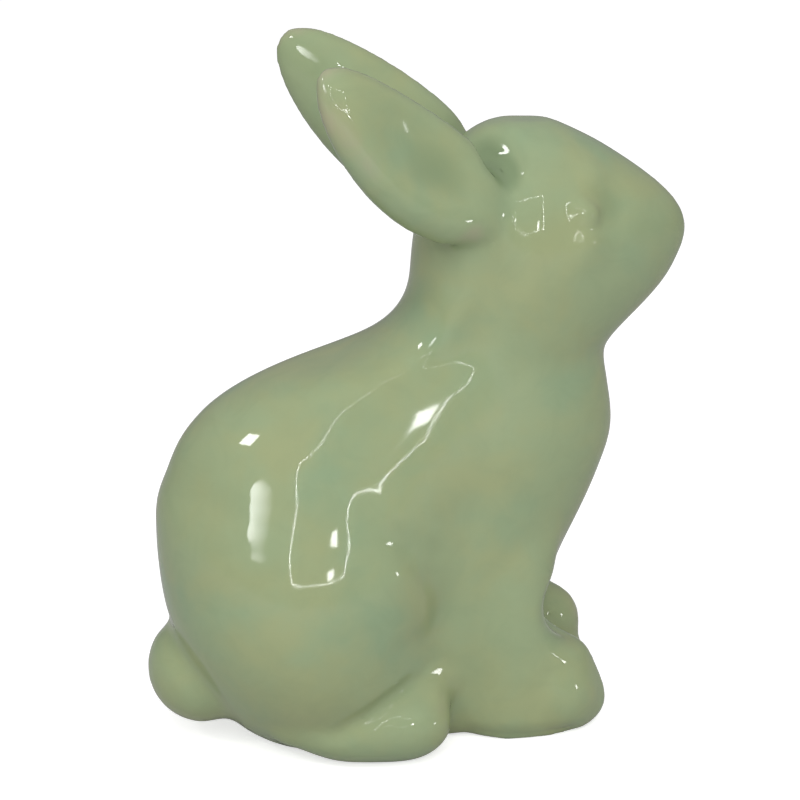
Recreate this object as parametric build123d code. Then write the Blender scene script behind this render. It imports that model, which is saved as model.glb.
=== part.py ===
# Seated rabbit figurine, slip cast in clay, luted together from its castings and glazed.
# The rabbit faces +X, its left side is +Y, and +Z is up.
# The origin is the middle of the footprint, on the surface that the rabbit sits on.
from build123d import *
import os

os.makedirs("parts", exist_ok=True)

# Trunk: the torso, haunches, neck and skull, cast hollow
length = 114.0
haunch_width = 60.0
crown_height = 131.5
wall = 4.0
floor_thickness = 4.5
vent_radius = 5.0

# Eyes, small moulded swellings on the cheeks
eye_length = 7.5
eye_height = 6.0
eye_thickness = 3.2

# Ears, laid back over the shoulders
ear_length = 52.0
ear_width = 22.5
ear_thickness = 11.8
ear_lean_back = 47.5
ear_turn_up = 13.0
ear_splay = 9.0
bowl_depth = 4.6
bowl_rim = 3.8
bowl_rise = 1.4

# Forelegs, each one casting from the shoulder down to the paw
foreleg_height = 58.0
foreleg_width = 17.4
paw_length = 35.2

# Hind feet, under the haunches
hind_foot_length = 38.0
hind_foot_width = 20.0
hind_foot_height = 18.5
sole_cut = 0.8

# Tail
tail_length = 24.0
tail_width = 25.0
tail_height = 24.0

# Neck seam, where the head is luted to the body
neck_seam_tilt = 15.0

half_length = length / 2
half_width = haunch_width / 2

# Where each piece is luted to the trunk: along as a share of the half length, out as a
# share of the half width, and up as a share of the crown height
neck_seam_share = (0.35, 0.00, 0.662)
eye_share = (0.56, 0.475, 0.869)
ear_root_share = (0.267, 0.44, 0.841)
paw_share = (0.404, 0.317, 0.00)
hind_toe_share = (0.088, 0.55, 0.00)
tail_share = (-0.79, 0.00, 0.12)
vent_share = (-0.21, 0.00, 0.00)

# Each row is one level section of the trunk. It gives the height as a share of the
# crown height, and then where the outline lies, along as shares of the half length and
# out as shares of the half width: rear, haunch (along, out), flank (along, out), front.
# The last share says how full the front is: 0.55 is a true oval, and less is pointed.
trunk_shares = (
    (0.000, -0.596, -0.28, 0.47, 0.11, 0.38, 0.40, 0.55),
    (0.030, -0.693, -0.32, 0.63, 0.11, 0.47, 0.46, 0.55),
    (0.076, -0.781, -0.35, 0.78, 0.11, 0.52, 0.48, 0.55),
    (0.152, -0.868, -0.39, 0.94, 0.12, 0.55, 0.50, 0.55),
    (0.243, -0.928, -0.42, 1.00, 0.14, 0.57, 0.52, 0.55),
    (0.335, -0.946, -0.42, 0.94, 0.18, 0.58, 0.60, 0.55),
    (0.411, -0.928, -0.40, 0.82, 0.21, 0.58, 0.68, 0.55),
    (0.471, -0.872, -0.37, 0.72, 0.25, 0.59, 0.73, 0.52),
    (0.532, -0.80, -0.32, 0.63, 0.26, 0.58, 0.74, 0.52),
    (0.586, -0.637, -0.21, 0.55, 0.28, 0.55, 0.72, 0.52),
    (0.624, -0.40, -0.11, 0.50, 0.30, 0.53, 0.71, 0.50),
    (0.662, -0.154, 0.04, 0.47, 0.33, 0.53, 0.76, 0.48),
    (0.700, -0.049, 0.12, 0.48, 0.35, 0.55, 0.85, 0.45),
    (0.753, -0.004, 0.18, 0.51, 0.37, 0.58, 0.95, 0.42),
    (0.814, 0.011, 0.19, 0.53, 0.39, 0.58, 1.00, 0.40),
    (0.867, 0.035, 0.21, 0.51, 0.39, 0.55, 0.95, 0.42),
    (0.913, 0.079, 0.25, 0.44, 0.39, 0.49, 0.83, 0.46),
    (0.951, 0.14, 0.28, 0.37, 0.40, 0.40, 0.70, 0.50),
    (0.977, 0.202, 0.32, 0.28, 0.41, 0.30, 0.60, 0.52),
    (0.993, 0.272, 0.35, 0.18, 0.42, 0.19, 0.53, 0.55),
    (1.000, 0.36, 0.40, 0.07, 0.43, 0.07, 0.47, 0.55),
)
oval_share = 0.55
haunch_curl_share = 0.56
flank_curl_share = 0.30

# Foreleg sections: the height and the shift inwards as shares of the foreleg's height
# and of its place out, then the shift back, the half depth and the half width as shares
# of the paw's length, length and width
foreleg_shares = (
    (0.00, 0.00, 0.01, 0.38, 0.36),
    (0.03, 0.00, 0.01, 0.46, 0.46),
    (0.08, 0.00, 0.00, 0.495, 0.495),
    (0.14, 0.00, 0.01, 0.50, 0.50),
    (0.21, 0.00, 0.03, 0.48, 0.50),
    (0.28, 0.00, 0.05, 0.45, 0.50),
    (0.35, 0.00, 0.09, 0.42, 0.49),
    (0.43, 0.00, 0.13, 0.37, 0.49),
    (0.52, 0.00, 0.16, 0.33, 0.48),
    (0.62, 0.02, 0.16, 0.32, 0.46),
    (0.72, 0.08, 0.12, 0.31, 0.43),
    (0.82, 0.17, 0.07, 0.29, 0.40),
    (0.91, 0.27, 0.03, 0.27, 0.36),
    (1.00, 0.37, 0.00, 0.25, 0.31),
)

# Hind foot sections from the toe to the heel: along the foot, half width and height,
# as shares of its length, width and height
hind_foot_shares = (
    (0.02, 0.26, 0.36),
    (0.07, 0.40, 0.66),
    (0.16, 0.48, 0.90),
    (0.30, 0.50, 1.00),
    (0.50, 0.47, 0.97),
    (0.72, 0.38, 0.80),
    (0.92, 0.22, 0.45),
)

# Ear sections from the lobe to the tip: along the ear, half width and half thickness,
# as shares of the ear's length, width and thickness
ear_shares = (
    (0.02, 0.20, 0.22),
    (0.09, 0.37, 0.38),
    (0.23, 0.48, 0.48),
    (0.42, 0.50, 0.50),
    (0.60, 0.48, 0.47),
    (0.78, 0.40, 0.40),
    (0.91, 0.28, 0.30),
    (0.98, 0.15, 0.16),
)
bowl_start_share = 0.10
bowl_end_share = 0.87


def trunk_section(row, inset):
    # One level outline of the trunk, drawn in by the inset, as a flat face
    level, rear, haunch, haunch_out, flank, flank_out, front, fullness = row
    height = level * crown_height
    rear_x = rear * half_length + inset
    haunch_x = haunch * half_length
    haunch_y = haunch_out * half_width - inset
    flank_x = flank * half_length
    flank_y = flank_out * half_width - inset
    front_x = front * half_length - inset
    span = flank_x - haunch_x
    curves = (
        (
            (rear_x, 0),
            (rear_x, haunch_y * oval_share),
            (haunch_x - (haunch_x - rear_x) * oval_share, haunch_y),
            (haunch_x, haunch_y),
        ),
        (
            (haunch_x, haunch_y),
            (haunch_x + span * haunch_curl_share, haunch_y),
            (flank_x - span * flank_curl_share, flank_y),
            (flank_x, flank_y),
        ),
        (
            (flank_x, flank_y),
            (flank_x + (front_x - flank_x) * fullness, flank_y),
            (front_x, flank_y * fullness),
            (front_x, 0),
        ),
    )
    left = [Bezier(*[(x, y, height) for x, y in curve]) for curve in curves]
    right = [Bezier(*[(x, -y, height) for x, y in curve[::-1]]) for curve in curves[::-1]]
    return Face(Wire([curve.edge() for curve in left + right]))


def trunk_solid():
    return loft([trunk_section(row, 0) for row in trunk_shares])


def trunk_cavity():
    # The hollow that the poured-out slip leaves, a wall inside the skin. It ends where
    # the haunch width, fourth in a row, is too small to leave one.
    wide_rows = [row for row in trunk_shares if row[3] * half_width > 2 * wall]
    hollow = loft([trunk_section(row, wall) for row in wide_rows])
    hollow = split(hollow, bisect_by=Plane.XY.offset(floor_thickness), keep=Keep.TOP)
    return split(hollow, bisect_by=Plane.XY.offset(crown_height - wall), keep=Keep.BOTTOM)


def seat(share, lift=0):
    # The point of the trunk that a piece is placed by
    along, out, up = share
    return Pos(along * half_length, -out * half_width, up * crown_height + lift)


def oval_solid(size_x, size_y, size_z):
    return scale(Sphere(1), by=(size_x / 2, size_y / 2, size_z / 2))


def foreleg_solid():
    sections = []
    for level, inward, back, depth, width in foreleg_shares:
        shift = Pos(-back * paw_length, inward * paw_share[1] * half_width, 0)
        outline = Ellipse(depth * paw_length, width * foreleg_width)
        sections.append(seat(paw_share, level * foreleg_height) * shift * outline)
    return loft(sections)


def hind_foot_solid():
    # Lofted from the toe back, then cut flat where it stands
    toe = seat(hind_toe_share, hind_foot_height / 2 - sole_cut)
    sections = [toe * Vertex(0, 0, 0)]
    for along, width, height in hind_foot_shares:
        outline = Rot(0, 90, 0) * Ellipse(height * hind_foot_height / 2, width * hind_foot_width)
        sections.append(toe * Pos(-along * hind_foot_length, 0, 0) * outline)
    sections.append(toe * Vertex(-hind_foot_length, 0, 0))
    return split(loft(sections), bisect_by=Plane.XY, keep=Keep.TOP)


def tail_solid():
    return seat(tail_share) * oval_solid(tail_length, tail_width, tail_height)


def eye_pair():
    eye = seat(eye_share) * oval_solid(eye_length, eye_thickness, eye_height)
    return eye + mirror(eye, about=Plane.XZ)


def ear_blank():
    # The ear standing on its lobe, its open side towards -Y and its upper edge towards +X
    sections = [Vertex(0, 0, 0)]
    for along, width, thickness in ear_shares:
        outline = Ellipse(width * ear_width, thickness * ear_thickness)
        sections.append(Pos(0, 0, along * ear_length) * outline)
    sections.append(Vertex(0, 0, ear_length))
    bowl_length = (bowl_end_share - bowl_start_share) * ear_length
    bowl_middle = (bowl_end_share + bowl_start_share) / 2 * ear_length
    bowl = oval_solid(ear_width - 2 * bowl_rim, 2 * bowl_depth, bowl_length)
    return loft(sections) - Pos(bowl_rise, -ear_thickness / 2, bowl_middle) * bowl


def ear_solid():
    lean = Rot(0, -ear_lean_back, 0) * Rot(ear_splay, 0, 0) * Rot(0, 0, ear_turn_up)
    return seat(ear_root_share) * lean * ear_blank()


def save(name, shape):
    export_step(shape, f"parts/{name}.step")


def save_pair(name, right):
    save(f"{name}_right", right)
    save(f"{name}_left", mirror(right, about=Plane.XZ))


trunk = trunk_solid()
shell = trunk - trunk_cavity()
tilt = Vector(0, 0, 1).rotate(Axis.Y, neck_seam_tilt)
neck_seam = Plane(origin=seat(neck_seam_share).position, z_dir=tilt)
body = split(shell, bisect_by=neck_seam, keep=Keep.BOTTOM)
head = split(shell, bisect_by=neck_seam, keep=Keep.TOP)

# The vent lets the slip and the kiln's gases out through the floor
vent = seat(vent_share) * Cylinder(vent_radius, 4 * floor_thickness)
save("body_casting", body - vent)
save("head_casting", head + (eye_pair() - trunk))

foreleg = foreleg_solid() - trunk
save_pair("foreleg", foreleg)
save_pair("hind_foot", hind_foot_solid() - trunk - foreleg)
save_pair("ear", ear_solid() - trunk)
save("tail", tail_solid() - trunk)
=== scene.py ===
import math

import bmesh
import bpy
import numpy as np
from mathutils import Matrix, Vector
from mathutils.bvhtree import BVHTree


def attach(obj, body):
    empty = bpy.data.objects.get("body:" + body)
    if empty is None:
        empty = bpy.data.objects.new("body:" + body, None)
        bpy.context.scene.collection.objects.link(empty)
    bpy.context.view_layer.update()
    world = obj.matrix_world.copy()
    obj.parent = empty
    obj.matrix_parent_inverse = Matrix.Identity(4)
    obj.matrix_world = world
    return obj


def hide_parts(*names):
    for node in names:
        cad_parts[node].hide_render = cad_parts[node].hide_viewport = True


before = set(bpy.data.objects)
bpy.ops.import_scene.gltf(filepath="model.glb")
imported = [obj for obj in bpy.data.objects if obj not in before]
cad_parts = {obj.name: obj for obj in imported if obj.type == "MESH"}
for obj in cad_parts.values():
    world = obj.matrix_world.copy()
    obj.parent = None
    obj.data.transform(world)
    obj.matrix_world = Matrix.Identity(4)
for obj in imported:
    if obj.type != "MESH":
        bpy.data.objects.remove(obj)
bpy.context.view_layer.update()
collection = bpy.context.scene.collection
mm = 0.001
print("frame loaded")


# Camera, at the photograph's angle and distance

view = {
    "azimuth": -10,
    "elevation": 20,
    "distance": 430 * mm,
    "target": (4 * mm, 0, 68 * mm),
    "lens": 92.7,
    "shiftX": -0.0388,
    "shiftY": 0.0259,
}


def aimedAt(azimuth, elevation):
    # right, up and back of something that looks at the rabbit from that side
    turn, lift = math.radians(azimuth), math.radians(elevation)
    back = Vector((math.sin(turn) * math.cos(lift), -math.cos(turn) * math.cos(lift), math.sin(lift)))
    right = Vector((math.cos(turn), math.sin(turn), 0))
    return right, back.cross(right), back


def placeAt(obj, azimuth, elevation, distance, target):
    right, up, back = aimedAt(azimuth, elevation)
    turn = Matrix((right, up, back)).transposed().to_4x4()
    obj.matrix_world = Matrix.Translation(Vector(target) + back * distance) @ turn


camera = bpy.data.objects.new("camera", bpy.data.cameras.new("camera"))
collection.objects.link(camera)
placeAt(camera, view["azimuth"], view["elevation"], view["distance"], view["target"])
camera.data.lens = view["lens"]
camera.data.sensor_width = 36
camera.data.shift_x = view["shiftX"]
camera.data.shift_y = view["shiftY"]
camera.data.clip_start = 0.01
bpy.context.scene.camera = camera


# Mesh helpers

meshing = {"weld": 0.001 * mm, "shrink": 0.5, "swell": -0.52}


def meshObject(name, bm):
    mesh = bpy.data.meshes.new(name)
    bm.to_mesh(mesh)
    bm.free()
    mesh.shade_smooth()
    obj = bpy.data.objects.new(name, mesh)
    collection.objects.link(obj)
    return obj


def voxelSkin(obj, size):
    # the outer skin of everything in the object, as one even net
    remesh = obj.modifiers.new("voxels", "REMESH")
    remesh.mode = "VOXEL"
    remesh.voxel_size = size
    graph = bpy.context.evaluated_depsgraph_get()
    made = bpy.data.meshes.new_from_object(obj.evaluated_get(graph))
    bpy.data.objects.remove(obj)
    return made


def pointsOf(mesh):
    points = np.empty(len(mesh.vertices) * 3)
    mesh.vertices.foreach_get("co", points)
    return points.reshape(-1, 3)


def setPoints(mesh, points):
    mesh.vertices.foreach_set("co", points.ravel())
    mesh.update()


def normalsOf(mesh):
    normals = np.empty(len(mesh.vertices) * 3)
    mesh.vertices.foreach_get("normal", normals)
    return normals.reshape(-1, 3)


def averager(mesh):
    # gives each point the mean of the values of the points around it
    edges = np.empty(len(mesh.edges) * 2, int)
    mesh.edges.foreach_get("vertices", edges)
    start, end = edges.reshape(-1, 2).T
    total = len(mesh.vertices)
    count = np.bincount(np.r_[start, end], minlength=total).clip(1)

    def around(values):
        columns = values.reshape(total, -1).T
        sums = [np.bincount(start, v[end], total) + np.bincount(end, v[start], total) for v in columns]
        return (np.array(sums) / count).T.reshape(values.shape)

    return around


def relax(mesh, rounds, share=1.0, swell=True):
    # evens the surface out; each swelling round gives back what the one before it shrank
    points = pointsOf(mesh)
    around = averager(mesh)
    weight = np.broadcast_to(share, len(points))[:, None]
    for turn in range(rounds):
        pull = meshing["swell"] if swell and turn % 2 else meshing["shrink"]
        points += (around(points) - points) * (pull * weight)
    setPoints(mesh, points)


def nodeCopy(bm, *names):
    for name in names:
        bm.from_mesh(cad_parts[name].data)
    bmesh.ops.remove_doubles(bm, verts=bm.verts, dist=meshing["weld"])


def treeOf(bm):
    tree = BVHTree.FromBMesh(bm)
    bm.free()
    return tree


# Ears, each one turned and bent a little differently, as hand luting leaves them

earForms = {
    "ear_right": {
        "root": (15.8, -13.3, 110.4),
        "lean": 48.9,
        "turn": 16,
        "splay": 8.8,
        "size": (21.2, 11.8, 50.6),
        "fullness": 1.02,
        "taper": 0.18,
        "bend": 2.5,
    },
    "ear_left": {
        "root": (15.3, 13.3, 111.0),
        "lean": 49.2,
        "turn": 10.9,
        "splay": 9.2,
        "size": (23.5, 11.8, 52.1),
        "fullness": 0.9,
        "taper": 0.19,
        "bend": 1.1,
    },
}
earDish = {
    "rise": 2.4,
    "middle": 0.46,
    "halfWidth": 10.2,
    "halfLength": 23.5,
    "depth": 3.6,
    "softness": 2.0,
}


def earClay(form):
    # stands on its lobe, dished on its -Y side, and is then leaned back and seated
    bm = bmesh.new()
    bmesh.ops.create_icosphere(bm, subdivisions=6, radius=1)
    width, thickness, height = form["size"]
    for vert in bm.verts:
        along = vert.co.z
        ring = math.sqrt(max(1 - along * along, 1e-6))
        swell = ring ** (form["fullness"] - 1) * (1 - form["taper"] * along)
        x = vert.co.x * width / 2 * swell
        y = vert.co.y * thickness / 2 * swell
        z = (along + 1) / 2 * height
        across = (x - earDish["rise"]) / earDish["halfWidth"]
        down = (z - earDish["middle"] * height) / earDish["halfLength"]
        inside = 1 - across**2 - down**2
        if y < 0 and inside > 0:
            y += earDish["depth"] * inside ** earDish["softness"]
        vert.co = (x + form["bend"] * along**2, y, z)
    turns = Matrix.Rotation(math.radians(-form["lean"]), 4, "Y")
    turns @= Matrix.Rotation(math.radians(form["splay"]), 4, "X")
    turns @= Matrix.Rotation(math.radians(form["turn"]), 4, "Z")
    x, y, z = form["root"]
    if y > 0:
        turns = Matrix.Scale(-1, 4, (0, 1, 0)) @ turns
    bmesh.ops.transform(bm, matrix=Matrix.Scale(mm, 4) @ Matrix.Translation((x, y, z)) @ turns, verts=bm.verts)
    bmesh.ops.recalc_face_normals(bm, faces=bm.faces)
    return bm


# The clay skin: the castings luted together, worked over while damp

skin = {
    "voxel": 0.8 * mm,
    "plugRadius": 5.4 * mm,
    "plugHeight": 4 * mm,
    "settleRounds": 30,
    "luteReach": 4.5 * mm,
    "luteRounds": 32,
}
vent = {"middle": (-12 * mm, 0), "radius": 5 * mm, "rimShare": 1.8, "levelReach": 1.2 * mm}
trunkNodes = ("body_casting", "head_casting")
limbNodes = ("foreleg_right", "foreleg_left", "hind_foot_right", "hind_foot_left", "tail")
castings = trunkNodes + tuple(earForms) + limbNodes


def plugVent(bm):
    # the plug shuts the vent, so that only the outer skin is left
    depth = skin["plugHeight"]
    plug = bmesh.ops.create_cone(
        bm, cap_ends=True, segments=32, radius1=skin["plugRadius"], radius2=skin["plugRadius"], depth=depth
    )
    bmesh.ops.translate(bm, verts=plug["verts"], vec=(*vent["middle"], depth / 2))


def joinedClay():
    clay = bmesh.new()
    nodeCopy(clay, *trunkNodes, *limbNodes)
    plugVent(clay)
    for form in earForms.values():
        ear = earClay(form)
        pressed = bpy.data.meshes.new("ear")
        ear.to_mesh(pressed)
        ear.free()
        clay.from_mesh(pressed)
    return voxelSkin(meshObject("clay", clay), skin["voxel"])


def castingTrees():
    # one search tree for the trunk, and one for each piece that is luted to it
    trees = {}
    for names in [trunkNodes] + [(name,) for name in limbNodes]:
        bm = bmesh.new()
        nodeCopy(bm, *names)
        trees[names[0]] = treeOf(bm)
    for name, form in earForms.items():
        trees[name] = treeOf(earClay(form))
    return trees


def distancesTo(trees, points):
    return np.array([[tree.find_nearest(point)[3] for tree in trees.values()] for point in points.tolist()])


clay = joinedClay()
print("clay skin:", len(clay.vertices), "points")
relax(clay, skin["settleRounds"])
trees = castingTrees()
away = np.sort(distancesTo(trees, pointsOf(clay)), axis=1)[:, 1]
lute = np.clip(1 - away / skin["luteReach"], 0, 1) ** 0.5
relax(clay, skin["luteRounds"], lute, swell=False)
relax(clay, skin["settleRounds"])
print("luted and settled")


# Modelling strokes on the damp clay. "at" is the middle in mm, and a push above zero is outwards.
# Those marked as paired are made on both sides alike. A gleam is a low swelling that catches a lamp.

pressing = {"flankGain": 1.6, "flankStart": 0.3, "settleRounds": 8}
strokes = (
    {"name": "rump", "at": (-51.0, 0.0, 60.0), "reach": 14.0, "push": 0.8, "paired": False},
    {"name": "backTrim", "at": (-18.0, 0.0, 86.0), "reach": 12.0, "push": -0.6, "paired": False},
    {"name": "crown", "at": (27.0, 0.0, 131.5), "reach": 14.0, "push": -0.5, "paired": False},
    {"name": "brow", "at": (34.8, -11.7, 121.6), "reach": 5.0, "push": 0.45, "paired": True},
    {"name": "eyeLid", "at": (30.3, -14.6, 117.6), "reach": 3.8, "push": 0.3, "paired": True},
    {"name": "eyeBall", "at": (31.8, -15.4, 114.4), "reach": 5.0, "push": 0.4, "paired": True},
    {"name": "eyeSocket", "at": (38.0, -12.3, 115.6), "reach": 7.5, "push": -0.6, "paired": True},
    {"name": "cheek", "at": (33.0, -16.0, 107.8), "reach": 7.0, "push": 0.7, "paired": True},
    {"name": "earNotch", "at": (14.3, -9.3, 126.3), "reach": 8.0, "push": -2.8, "paired": False},
    {"name": "earNotchLow", "at": (16.5, -12.0, 122.0), "reach": 5.0, "push": -0.9, "paired": False},
    {"name": "farNotch", "at": (14.3, 9.3, 126.3), "reach": 8.0, "push": -0.8, "paired": False},
    {"name": "napeGleam", "at": (-8.6, -14.4, 83.4), "reach": 3.6, "push": 0.2, "paired": True},
    {"name": "eyeGleam", "at": (33.2, -16.2, 109.8), "reach": 3.6, "push": 0.35, "paired": True},
    {"name": "nearPaw", "at": (31.5, -17.0, 9.5), "reach": 9.0, "push": 1.8, "paired": True},
    {"name": "toe", "at": (2.5, -17.5, 15.0), "reach": 7.0, "push": 1.6, "paired": True},
    {"name": "farPaw", "at": (35.5, 9.5, 19.0), "reach": 9.5, "push": 2.6, "paired": False},
    {"name": "nearInstep", "at": (31.0, -10.0, 27.0), "reach": 11.0, "push": -4.2, "paired": False},
)

# Lines drawn on both flanks as (along, up) in mm; "fade" is the share at each end that runs out
foldLines = (
    {
        "name": "thighFold",
        "line": ((-14.0, 54.5), (-6.0, 51.0), (0.0, 45.5), (3.4, 38.0), (4.2, 30.0), (3.2, 23.5)),
        "reach": 5.2,
        "push": -1.0,
        "fade": 0.3,
    },
    {
        "name": "thighSwell",
        "line": ((-14.0, 46.0), (-7.5, 42.0), (-4.0, 35.0), (-3.8, 27.0)),
        "reach": 8.5,
        "push": 0.6,
        "fade": 0.3,
    },
    {
        "name": "flankSwell",
        "line": ((-46.0, 58.0), (-34.0, 58.5), (-24.0, 58.5), (-10.0, 59.0)),
        "reach": 8.0,
        "push": 0.55,
        "fade": 0.3,
    },
    {
        "name": "soleEdge",
        "line": ((7.0, 0.0), (35.0, 0.0)),
        "reach": 5.5,
        "push": -1.0,
        "fade": 0.15,
    },
    {
        "name": "footFold",
        "line": ((-1.0, 20.0), (-9.0, 16.2), (-16.5, 11.5), (-24.0, 7.5)),
        "reach": 3.4,
        "push": -0.8,
        "fade": 0.2,
    },
)


def nearness(points, stroke, side):
    away = np.linalg.norm(points - np.array(stroke["at"]) * (1, side, 1), axis=1)
    return np.clip(1 - (away / stroke["reach"]) ** 2, 0, 1) ** 2


def lineNearness(flat, fold):
    # how near each point is to a line on the flank, running out at both ends
    spans = [math.dist(start, end) for start, end in zip(fold["line"], fold["line"][1:])]
    best, place, done = np.full(len(flat), 1e3), np.zeros(len(flat)), 0
    for start, end, span in zip(fold["line"], fold["line"][1:], spans):
        start, run = np.array(start), np.subtract(end, start)
        along = np.clip((flat - start) @ run / (run @ run), 0, 1)
        away = np.linalg.norm(flat - start - along[:, None] * run, axis=1)
        place = np.where(away < best, (done + along * span) / sum(spans), place)
        best = np.minimum(best, away)
        done += span
    ends = np.clip(np.minimum(place, 1 - place) / fold["fade"], 0, 1)
    return np.clip(1 - (best / fold["reach"]) ** 2, 0, 1) ** 2 * ends * ends * (3 - 2 * ends)


def pressStrokes(mesh):
    points = pointsOf(mesh) / mm
    normals = normalsOf(mesh)
    moved = np.zeros(len(points))
    for stroke in strokes:
        for side in (1, -1) if stroke["paired"] else (1,):
            moved += stroke["push"] * nearness(points, stroke, side)
    sideways = np.clip(np.abs(normals[:, 1]) * pressing["flankGain"] - pressing["flankStart"], 0, 1)
    for fold in foldLines:
        moved += fold["push"] * lineNearness(points[:, [0, 2]], fold) * sideways
    setPoints(mesh, (points + normals * moved[:, None]) * mm)


pressStrokes(clay)
relax(clay, pressing["settleRounds"])
settled = pointsOf(clay)
settled[:, 2] = settled[:, 2].clip(0)  # nothing sinks below the table
setPoints(clay, settled)
print("features pressed in")


# How thick the glaze lies: thin over edges and swellings, pooled in the hollows; and painted shade beside the ears,
# in the ear bowls and before the eyes

glazeFlow = {"rounds": 24, "sharpest": 0.5, "settleRounds": 6}
thinGlazeAndShadeSpots = (
    {"name": "earLobe", "at": (9.5, -17.5, 111.5), "reach": 7.5, "thinGlazeAndShade": 0.22, "paired": True},
    {"name": "earRimLow", "at": (0.0, -22.0, 117.2), "reach": 9.0, "thinGlazeAndShade": 0.12, "paired": True},
    {"name": "earRim", "at": (-11.4, -23.9, 128.4), "reach": 9.0, "thinGlazeAndShade": 0.15, "paired": True},
    {"name": "earRimHigh", "at": (-17.0, -23.4, 136.5), "reach": 8.0, "thinGlazeAndShade": 0.16, "paired": True},
    {"name": "toeTop", "at": (1.5, -20.5, 13.5), "reach": 8.0, "thinGlazeAndShade": 0.14, "paired": True},
    {"name": "tailTop", "at": (-52.0, -6.0, 17.0), "reach": 9.0, "thinGlazeAndShade": 0.10, "paired": True},
    {"name": "cheekSpot", "at": (30.0, -17.0, 104.5), "reach": 8.0, "thinGlazeAndShade": 0.16, "paired": True},
    # These four paint shade: they darken the colour toward the pooled glaze in the hollow beside each ear, in each
    # ear's bowl and in the corner before each eye, where shade falls
    {"name": "earNotch", "at": (13.2, -7.4, 127.8), "reach": 8.5, "thinGlazeAndShade": -0.32, "paired": True},
    {"name": "earNotchLow", "at": (16.4, -11.8, 122.4), "reach": 6.0, "thinGlazeAndShade": -0.30, "paired": True},
    {"name": "earBowl", "at": (1.0, -18.5, 123.5), "reach": 13.0, "thinGlazeAndShade": -0.20, "paired": True},
    {"name": "eyeCorner", "at": (38.0, -12.0, 115.8), "reach": 7.0, "thinGlazeAndShade": -0.16, "paired": True},
)


def glazeThinnessAndShade(mesh):
    # the sum of both curvatures per mm: above zero where the clay stands proud, below in a hollow
    points = pointsOf(mesh)
    around = averager(mesh)
    soft = points.copy()
    for _ in range(glazeFlow["rounds"]):
        soft = around(soft)
    spread = glazeFlow["rounds"] * (skin["voxel"] / mm) ** 2 / 4
    bend = ((points - soft) * normalsOf(mesh)).sum(axis=1) / mm / spread
    for _ in range(glazeFlow["settleRounds"]):
        bend = around(bend)
    # then the listed spots: thin glaze on rims, lobes, toes, tail and cheeks, and painted shade in the ear hollows,
    # ear bowls and eye corners
    for spot in thinGlazeAndShadeSpots:
        for side in (1, -1) if spot["paired"] else (1,):
            bend += spot["thinGlazeAndShade"] * nearness(points / mm, spot, side)
    return np.clip(bend, -glazeFlow["sharpest"], glazeFlow["sharpest"])


# Parting the skin into the pieces that were luted together

seam = {
    "origin": (19.95 * mm, 0, 87.05 * mm),
    "tilt": 15,
    "reach": 0.02 * mm,
    "followRounds": 3,
    "tidyRounds": 8,
    "sharpest": 0.3,
}
sole = {"height": 0.35 * mm}
wall = {"thickness": 4 * mm, "voxel": 1.6 * mm, "settleRounds": 12}
neckNormal = Vector((math.sin(math.radians(seam["tilt"])), 0, math.cos(math.radians(seam["tilt"]))))


def labelFaces(bm, trees):
    # the piece that each face of the skin belongs to
    names = list(trees)
    labels = []
    for face in bm.faces:
        middle = face.calc_center_median()
        nearest = int(np.argmin([tree.find_nearest(middle)[3] for tree in trees.values()]))
        label = names[nearest]
        if label == "body_casting" and (middle - Vector(seam["origin"])).dot(neckNormal) > 0:
            label = "head_casting"
        labels.append(castings.index(label))
    bm.faces.index_update()
    for _ in range(seam["followRounds"]):
        # each face follows most of its neighbours, so that the seams run smooth
        for face in bm.faces:
            if castings[labels[face.index]] in trunkNodes and any(
                castings[labels[other.index]] in trunkNodes and labels[other.index] != labels[face.index]
                for edge in face.edges
                for other in edge.link_faces
            ):
                continue
            near = [labels[o.index] for edge in face.edges for o in edge.link_faces if o is not face]
            most = max(set(near), key=near.count)
            if near.count(most) > len(near) / 2:
                labels[face.index] = most
    return keepLargest(bm, labels)


def keepLargest(bm, labels):
    # stray islands join the piece around them
    seen = set()
    groups = []
    for face in bm.faces:
        if face.index in seen:
            continue
        group, waiting = [], [face]
        seen.add(face.index)
        while waiting:
            here = waiting.pop()
            group.append(here)
            for edge in here.edges:
                for other in edge.link_faces:
                    if other.index not in seen and labels[other.index] == labels[here.index]:
                        seen.add(other.index)
                        waiting.append(other)
        groups.append(group)
    groups.sort(key=len, reverse=True)
    kept = set()
    for group in groups:
        label = labels[group[0].index]
        if label in kept:
            rim = [labels[o.index] for f in group for e in f.edges for o in e.link_faces if labels[o.index] != label]
            for face in group:
                labels[face.index] = rim[0]
        kept.add(label)
    return labels


def smoothSeams(bm, labels):
    # evens the lines where pieces meet, keeping them on the skin
    tree = BVHTree.FromBMesh(bm)
    borders = {}
    for edge in bm.edges:
        sides = {labels[face.index] for face in edge.link_faces}
        if len(sides) == 2 and not all(castings[side] in trunkNodes for side in sides):
            first, second = edge.verts
            borders.setdefault(first, []).append(second)
            borders.setdefault(second, []).append(first)
    for _ in range(seam["tidyRounds"]):
        moved = {}
        for vert, ends in borders.items():
            if len(ends) == 2:
                middle = (ends[0].co + ends[1].co) / 2
                moved[vert] = tree.find_nearest(vert.co.lerp(middle, 0.5))[0]
        for vert, place in moved.items():
            vert.co = place


def hollow():
    # the inside that the poured-out slip leaves, faces turned to the air in it
    bm = bmesh.new()
    nodeCopy(bm, *trunkNodes)
    plugVent(bm)
    inner = voxelSkin(meshObject("hollow", bm), wall["voxel"])
    relax(inner, wall["settleRounds"])
    setPoints(inner, pointsOf(inner) - normalsOf(inner) * wall["thickness"])
    relax(inner, wall["settleRounds"])
    bm = bmesh.new()
    bm.from_mesh(inner)
    bmesh.ops.reverse_faces(bm, faces=bm.faces)
    return bm


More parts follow.
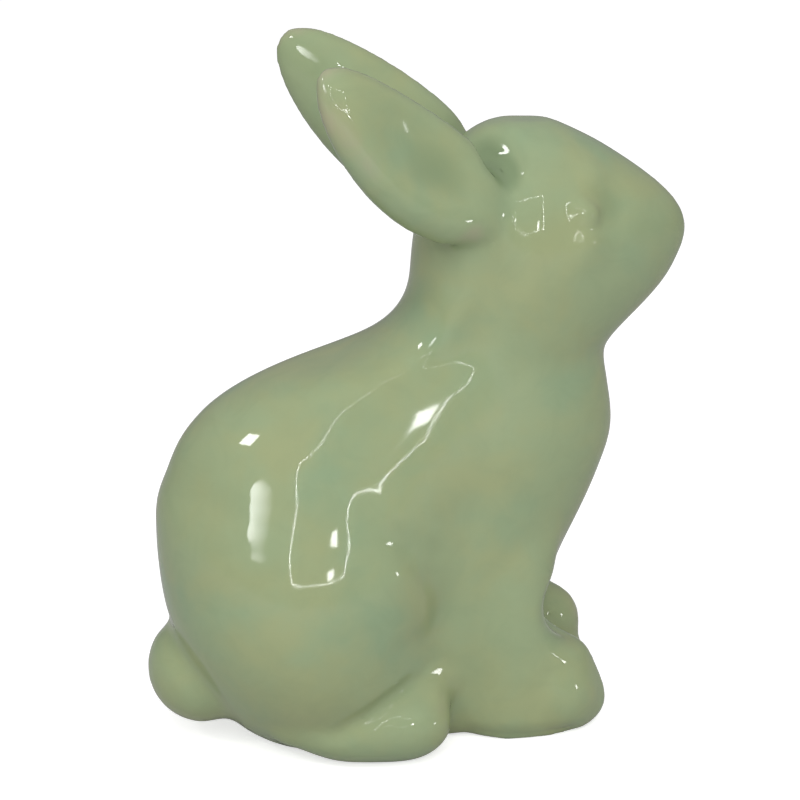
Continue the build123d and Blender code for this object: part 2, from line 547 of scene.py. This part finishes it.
def openVent(bm, level):
    # takes out the faces over the vent and rounds the rim that is left
    middle = Vector((*vent["middle"], 0))
    hit = [
        face
        for face in bm.faces
        if abs(face.calc_center_median().z - level) < vent["levelReach"]
        and min((vert.co.xy - middle.xy).length for vert in face.verts) < vent["radius"]
    ]
    bmesh.ops.delete(bm, geom=hit, context="FACES")
    rim = [e for e in bm.edges if e.is_boundary and abs(e.verts[0].co.z - level) < vent["levelReach"]]
    rim = [e for e in rim if (e.verts[0].co.xy - middle.xy).length < vent["radius"] * vent["rimShare"]]
    for vert in {vert for edge in rim for vert in edge.verts}:
        out = (vert.co.xy - middle.xy).normalized() * vent["radius"]
        vert.co.x, vert.co.y = middle.x + out.x, middle.y + out.y
    return rim


def onSeam(bm):
    origin = Vector(seam["origin"])
    return [
        edge
        for edge in bm.edges
        if edge.is_boundary and all(abs((vert.co - origin).dot(neckNormal)) < seam["reach"] for vert in edge.verts)
    ]


def addHollow(bm, label):
    # the inner face of the wall, shut against the neck seam
    inside = hollow()
    cut = {"geom": inside.verts[:] + inside.edges[:] + inside.faces[:], "dist": 1e-7}
    cut |= {"plane_co": seam["origin"], "plane_no": neckNormal}
    bmesh.ops.bisect_plane(inside, **cut, clear_outer=label == "body_casting", clear_inner=label == "head_casting")
    pressed = bpy.data.meshes.new("hollow")
    inside.to_mesh(pressed)
    inside.free()
    marks = bm.faces.layers.int["bare"]
    before = set(bm.faces)
    bm.from_mesh(pressed)
    for face in set(bm.faces) - before:
        face[marks] = 1
    rims = onSeam(bm)
    faces = bmesh.ops.triangle_fill(bm, use_beauty=True, edges=rims, normal=neckNormal)["geom"]
    for face in faces:
        if isinstance(face, bmesh.types.BMFace):
            face[marks] = 1
    if label == "body_casting":
        rim = openVent(bm, 0) + openVent(bm, wall["thickness"])
        for face in bmesh.ops.bridge_loops(bm, edges=rim)["faces"]:
            face[marks] = 1


def pieceMesh(whole, labels, label):
    # one piece of the skin, with its hidden seat closed
    bm = whole.copy()
    bm.faces.ensure_lookup_table()
    others = [bm.faces[i] for i, name in enumerate(labels) if castings[name] != label]
    bmesh.ops.delete(bm, geom=others, context="FACES")
    marks = bm.faces.layers.int["bare"]
    if label in trunkNodes:
        addHollow(bm, label)
    rest = [edge for edge in bm.edges if edge.is_boundary]
    seats = bmesh.ops.holes_fill(bm, edges=rest, sides=0)["faces"]
    bmesh.ops.triangulate(bm, faces=seats)
    for face in bm.faces:
        if face[marks] == 0 and all(vert.co.z < sole["height"] for vert in face.verts):
            face[marks] = 1
    bmesh.ops.recalc_face_normals(bm, faces=bm.faces)
    return bm


def makePieces(mesh):
    thinGlazeAndShade = glazeThinnessAndShade(mesh)
    whole = bmesh.new()
    whole.from_mesh(mesh)
    thinGlazeAndShadeLayer = whole.verts.layers.float.new("thinGlazeAndShade")
    whole.verts.ensure_lookup_table()
    for vert, value in zip(whole.verts, thinGlazeAndShade):
        vert[thinGlazeAndShadeLayer] = value
    geometry = whole.verts[:] + whole.edges[:] + whole.faces[:]
    bmesh.ops.bisect_plane(whole, geom=geometry, dist=1e-7, plane_co=seam["origin"], plane_no=neckNormal)
    whole.faces.layers.int.new("bare")
    whole.faces.index_update()
    labels = labelFaces(whole, trees)
    smoothSeams(whole, labels)
    whole.normal_update()
    normalLayer = whole.verts.layers.float_vector.new("skinNormal")
    for vert in whole.verts:
        vert[normalLayer] = vert.normal
    pieces = {}
    for label in castings:
        bm = pieceMesh(whole, labels, label)
        normalLayer = bm.verts.layers.float_vector["skinNormal"]
        marks = bm.faces.layers.int["bare"]
        for face in bm.faces:
            face.material_index = face[marks]
        looks = [
            # the skin's own normal, except at the sharp rim of a seat or of the vent
            tuple(vert[normalLayer])
            if vert[normalLayer].length > 0.5 and vert[normalLayer].dot(face.normal) > seam["sharpest"]
            else tuple(face.normal)
            for face in bm.faces
            for vert in face.verts
        ]
        obj = meshObject(label + "_glazed", bm)
        obj.data.normals_split_custom_set(looks)
        obj.data.attributes.remove(obj.data.attributes["skinNormal"])
        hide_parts(label)
        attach(obj, "root")
        pieces[label] = obj
    whole.free()
    return pieces


pieces = makePieces(clay)
print("pieces:", {name: len(obj.data.polygons) for name, obj in pieces.items()})


# Glaze and bare clay

glaze = {
    "green": (0.285, 0.352, 0.198),
    "olive": (0.312, 0.352, 0.184),
    "bluish": (0.240, 0.338, 0.205),
    "breaking": (0.400, 0.345, 0.252),
    "pooledGlazeAndShade": (0.195, 0.262, 0.142),
    "pinhole": (0.110, 0.130, 0.070),
    "roughness": (0.045, 0.08),
    "ior": 1.5,
    "ripple": 0.06 * mm,
}
bareClay = {"cream": (0.62, 0.55, 0.44), "grey": (0.50, 0.45, 0.37), "roughness": (0.75, 0.92), "ripple": 0.12 * mm}


def nodeGroup(name, inputs, outputs):
    group = bpy.data.node_groups.new(name, "ShaderNodeTree")
    for label, kind, value in inputs:
        socket = group.interface.new_socket(label, in_out="INPUT", socket_type=kind)
        if value is not None:
            socket.default_value = value
    for label, kind in outputs:
        group.interface.new_socket(label, in_out="OUTPUT", socket_type=kind)
    return group, group.nodes.new("NodeGroupInput"), group.nodes.new("NodeGroupOutput")


def addNode(tree, kind, settings=None, **inputs):
    node = tree.nodes.new(kind)
    for key, value in (settings or {}).items():
        setattr(node, key, value)
    for key, value in inputs.items():
        socket = node.inputs[key.replace("_", " ")]
        if isinstance(value, bpy.types.NodeSocket):
            tree.links.new(value, socket)
        else:
            socket.default_value = value
    return node


def noise(tree, vector, scale, detail=2.0, roughness=0.5, distortion=0.0):
    look = {"Scale": scale, "Detail": detail, "Roughness": roughness, "Distortion": distortion}
    return addNode(tree, "ShaderNodeTexNoise", Vector=vector, **look).outputs["Fac"]


def ramp(tree, value, low, high, first=0.0, last=1.0):
    settings = {"interpolation_type": "SMOOTHSTEP"}
    node = addNode(
        tree, "ShaderNodeMapRange", settings, Value=value, From_Min=low, From_Max=high, To_Min=first, To_Max=last
    )
    return node.outputs["Result"]


def blend(tree, share, first, second):
    node = tree.nodes.new("ShaderNodeMix")
    node.data_type = "RGBA"
    for index, value in ((0, share), (6, first), (7, second)):
        if isinstance(value, bpy.types.NodeSocket):
            tree.links.new(value, node.inputs[index])
        else:
            node.inputs[index].default_value = (*value, 1) if isinstance(value, tuple) else value
    return node.outputs[2]


def calc(tree, operation, first, second):
    node = tree.nodes.new("ShaderNodeMath")
    node.operation = operation
    for index, value in enumerate((first, second)):
        if isinstance(value, bpy.types.NodeSocket):
            tree.links.new(value, node.inputs[index])
        else:
            node.inputs[index].default_value = value
    return node.outputs[0]


def speckleGroup():
    # a few small dark specks, the pinholes and iron spots of fired clay
    group, entry, leave = nodeGroup(
        "specks",
        [
            ("Vector", "NodeSocketVector", None),
            ("Scale", "NodeSocketFloat", 90.0),
            ("Size", "NodeSocketFloat", 0.03),
            ("Share", "NodeSocketFloat", 0.08),
        ],
        [("Mask", "NodeSocketFloat")],
    )
    cells = addNode(group, "ShaderNodeTexVoronoi", Vector=entry.outputs["Vector"], Scale=entry.outputs["Scale"])
    chosen = addNode(group, "ShaderNodeSeparateColor", Color=cells.outputs["Color"]).outputs["Red"]
    few = calc(group, "LESS_THAN", chosen, entry.outputs["Share"])
    near = calc(group, "LESS_THAN", cells.outputs["Distance"], entry.outputs["Size"])
    group.links.new(calc(group, "MULTIPLY", few, near), leave.inputs["Mask"])
    return group


def rippleGroup():
    # the slow unevenness of a surface that was wiped or brushed by hand
    group, entry, leave = nodeGroup(
        "ripple",
        [
            ("Vector", "NodeSocketVector", None),
            ("Broad", "NodeSocketFloat", 90.0),
            ("Fine", "NodeSocketFloat", 500.0),
        ],
        [("Height", "NodeSocketFloat")],
    )
    broad = noise(group, entry.outputs["Vector"], entry.outputs["Broad"], 1.0, 0.4)
    fine = noise(group, entry.outputs["Vector"], entry.outputs["Fine"], 2.0, 0.5)
    height = calc(group, "ADD", broad, calc(group, "MULTIPLY", fine, 0.06))
    group.links.new(height, leave.inputs["Height"])
    return group


def useGroup(tree, group, **inputs):
    node = tree.nodes.new("ShaderNodeGroup")
    node.node_tree = group
    for key, value in inputs.items():
        if isinstance(value, bpy.types.NodeSocket):
            tree.links.new(value, node.inputs[key])
        else:
            node.inputs[key].default_value = value
    return node.outputs[0]


def newMaterial(name):
    material = bpy.data.materials.new(name)
    material.use_nodes = True
    tree = material.node_tree
    surface = tree.nodes["Principled BSDF"]
    place = tree.nodes.new("ShaderNodeTexCoord").outputs["Object"]
    return material, tree, surface, place


def glazeMaterial(specks, ripple):
    material, tree, surface, place = newMaterial("sageGlaze")
    thinGlazeAndShade = addNode(tree, "ShaderNodeAttribute", {"attribute_name": "thinGlazeAndShade"}).outputs["Fac"]
    patches = noise(tree, place, 55.0, 3.0, 0.55, 0.4)
    clouds = noise(tree, place, 130.0, 4.0, 0.6, 0.8)
    beside = addNode(tree, "ShaderNodeMapping", Vector=place, Location=(0.3, 0.7, 0.1)).outputs[0]
    cool = noise(tree, beside, 48.0, 3.0)
    colour = blend(tree, ramp(tree, patches, 0.36, 0.68), glaze["green"], glaze["olive"])
    colour = blend(tree, ramp(tree, cool, 0.50, 0.74, 0.0, 0.7), colour, glaze["bluish"])
    colour = blend(tree, ramp(tree, clouds, 0.35, 0.75, 0.0, 0.16), colour, glaze["pooledGlazeAndShade"])
    # below zero the colour goes toward the pooled glaze; at the listed shade spots this is painted shade
    colour = blend(tree, ramp(tree, thinGlazeAndShade, -0.02, -0.34, 0.0, 0.95), colour, glaze["pooledGlazeAndShade"])
    uneven = calc(tree, "ADD", thinGlazeAndShade, calc(tree, "MULTIPLY", calc(tree, "SUBTRACT", clouds, 0.5), 0.22))
    broken = ramp(tree, uneven, 0.20, 0.46, 0.0, 0.85)
    colour = blend(tree, broken, colour, glaze["breaking"])
    holes = useGroup(tree, specks, Vector=place, Scale=95.0, Size=0.022, Share=0.10)
    colour = blend(tree, holes, colour, glaze["pinhole"])
    tree.links.new(colour, surface.inputs["Base Color"])
    rough = calc(tree, "ADD", ramp(tree, clouds, 0.3, 0.8, *glaze["roughness"]), calc(tree, "MULTIPLY", holes, 0.5))
    tree.links.new(rough, surface.inputs["Roughness"])
    surface.inputs["IOR"].default_value = glaze["ior"]
    height = calc(tree, "SUBTRACT", useGroup(tree, ripple, Vector=place, Broad=85.0, Fine=420.0), holes)
    bump = addNode(tree, "ShaderNodeBump", Height=height, Strength=1.0, Distance=glaze["ripple"])
    tree.links.new(bump.outputs[0], surface.inputs["Normal"])
    return material


def clayMaterial(specks, ripple):
    material, tree, surface, place = newMaterial("bareClay")
    stain = noise(tree, place, 160.0, 4.0, 0.6)
    colour = blend(tree, ramp(tree, stain, 0.35, 0.7), bareClay["cream"], bareClay["grey"])
    spots = useGroup(tree, specks, Vector=place, Scale=420.0, Size=0.12, Share=0.25)
    colour = blend(tree, calc(tree, "MULTIPLY", spots, 0.5), colour, glaze["pinhole"])
    tree.links.new(colour, surface.inputs["Base Color"])
    tree.links.new(ramp(tree, stain, 0.3, 0.7, *bareClay["roughness"]), surface.inputs["Roughness"])
    height = useGroup(tree, ripple, Vector=place, Broad=700.0, Fine=2600.0)
    bump = addNode(tree, "ShaderNodeBump", Height=height, Strength=1.0, Distance=bareClay["ripple"])
    tree.links.new(bump.outputs[0], surface.inputs["Normal"])
    return material


specks = speckleGroup()
ripple = rippleGroup()
finishes = (glazeMaterial(specks, ripple), clayMaterial(specks, ripple))
for obj in pieces.values():
    obj.data.materials.clear()
    for finish in finishes:
        obj.data.materials.append(finish)
print("glaze and clay ready")


# Floor, backdrop and studio light

studio = {
    "floorSize": 3.0,
    "floorColour": (0.82, 0.82, 0.82),
    "floorLift": 0.60,
    "floorBounce": (0.57, 0.57, 0.56),
    "skyTop": 0.50,
    "skySide": 0.27,
    "middle": (0, 0, 70 * mm),
    "lampDistance": 1.0,
}
lamps = (
    {"name": "soft", "azimuth": -2, "elevation": 44, "size": (0.7, 0.7), "power": 5.4, "shines": False},
    {"name": "right", "azimuth": 54, "elevation": 0, "size": (0.08, 0.08), "power": 0.32},
    {"name": "upper", "azimuth": -66, "elevation": 41, "size": (0.16, 0.10), "power": 1.0},
    {"name": "front", "azimuth": 11, "elevation": 9, "size": (0.05, 0.06), "power": 0.2},
)
# ovals one behind another that share a left edge, so that the highlight fades to the right
window = {
    "azimuth": -45,
    "elevation": 19,
    "size": (0.08, 0.13),
    "growth": (0.027, 0.014),
    "ovals": 9,
    "gap": 1 * mm,
    "power": 30.0,
}
# a panel whose bright edge alone shows in the glaze
panel = {"azimuth": 3, "elevation": 17, "distance": 0.95, "size": (0.52, 0.36), "edge": 2.5 * mm, "power": 0.2}


def addLamp(name, azimuth, elevation, size, power, distance=None, shift=(0, 0), shines=True, oval=False):
    # faces the middle of the rabbit, and a lamp that doesn't shine isn't mirrored in the glaze
    data = bpy.data.lights.new(name, "AREA")
    data.shape = "ELLIPSE" if oval else "RECTANGLE"
    data.size, data.size_y = size
    data.energy = power
    lamp = bpy.data.objects.new(name, data)
    collection.objects.link(lamp)
    right, up, back = aimedAt(azimuth, elevation)
    aim = Vector(studio["middle"]) + right * shift[0] + up * shift[1]
    placeAt(lamp, azimuth, elevation, distance or studio["lampDistance"], aim)
    lamp.visible_camera = False
    lamp.visible_glossy = shines


def whiteFloor():
    bm = bmesh.new()
    bmesh.ops.create_grid(bm, x_segments=1, y_segments=1, size=studio["floorSize"])
    floor = meshObject("floor", bm)
    material, tree, surface, _ = newMaterial("paleFloor")
    surface.inputs["Base Color"].default_value = (*studio["floorColour"], 1)
    surface.inputs["Roughness"].default_value = 0.9
    surface.inputs["Specular IOR Level"].default_value = 0.0
    lift = tree.nodes.new("ShaderNodeEmission")
    lift.inputs["Strength"].default_value = studio["floorLift"]
    seen = tree.nodes.new("ShaderNodeLightPath").outputs["Is Camera Ray"]
    both = tree.nodes.new("ShaderNodeAddShader")
    tree.links.new(surface.outputs[0], both.inputs[0])
    tree.links.new(lift.outputs[0], both.inputs[1])
    choice = tree.nodes.new("ShaderNodeMixShader")
    bounce = addNode(tree, "ShaderNodeBsdfDiffuse", Color=(*studio["floorBounce"], 1))
    tree.links.new(seen, choice.inputs[0])
    tree.links.new(bounce.outputs[0], choice.inputs[1])
    tree.links.new(both.outputs[0], choice.inputs[2])
    tree.links.new(choice.outputs[0], tree.nodes["Material Output"].inputs["Surface"])
    floor.data.materials.append(material)


def studioSky():
    world = bpy.data.worlds.new("studio")
    bpy.context.scene.world = world
    world.use_nodes = True
    tree = world.node_tree
    soft = tree.nodes["Background"]
    place = tree.nodes.new("ShaderNodeTexCoord").outputs["Generated"]
    level = addNode(tree, "ShaderNodeSeparateXYZ", Vector=place).outputs["Z"]
    strength = ramp(tree, level, -0.2, 0.9, studio["skySide"], studio["skyTop"])
    tree.links.new(strength, soft.inputs["Strength"])
    soft.inputs["Color"].default_value = (1, 1, 1, 1)
    white = tree.nodes.new("ShaderNodeBackground")
    white.inputs["Color"].default_value = (1, 1, 1, 1)
    choice = tree.nodes.new("ShaderNodeMixShader")
    tree.links.new(tree.nodes.new("ShaderNodeLightPath").outputs["Is Camera Ray"], choice.inputs[0])
    tree.links.new(soft.outputs[0], choice.inputs[1])
    tree.links.new(white.outputs[0], choice.inputs[2])
    tree.links.new(choice.outputs[0], tree.nodes["World Output"].inputs["Surface"])


whiteFloor()
studioSky()
for lamp in lamps:
    addLamp(**lamp)
for step in range(window["ovals"]):
    width, height = (start + step * more for start, more in zip(window["size"], window["growth"]))
    power = window["power"] * width * height / window["ovals"]
    place = {"distance": studio["lampDistance"] + step * window["gap"], "shift": (width / 2, 0)}
    addLamp(f"window{step}", window["azimuth"], window["elevation"], (width, height), power, **place, oval=True)
width, height = panel["size"]
for name, size, shift in (
    ("panelLeft", (panel["edge"], height), (-width / 2, 0)),
    ("panelRight", (panel["edge"], height), (width / 2, 0)),
    ("panelTop", (width, panel["edge"]), (0, height / 2)),
    ("panelBase", (width, panel["edge"]), (0, -height / 2)),
):
    addLamp(name, panel["azimuth"], panel["elevation"], size, panel["power"], panel["distance"], shift)
bpy.context.scene.view_settings.view_transform = "Standard"
print("studio lit")
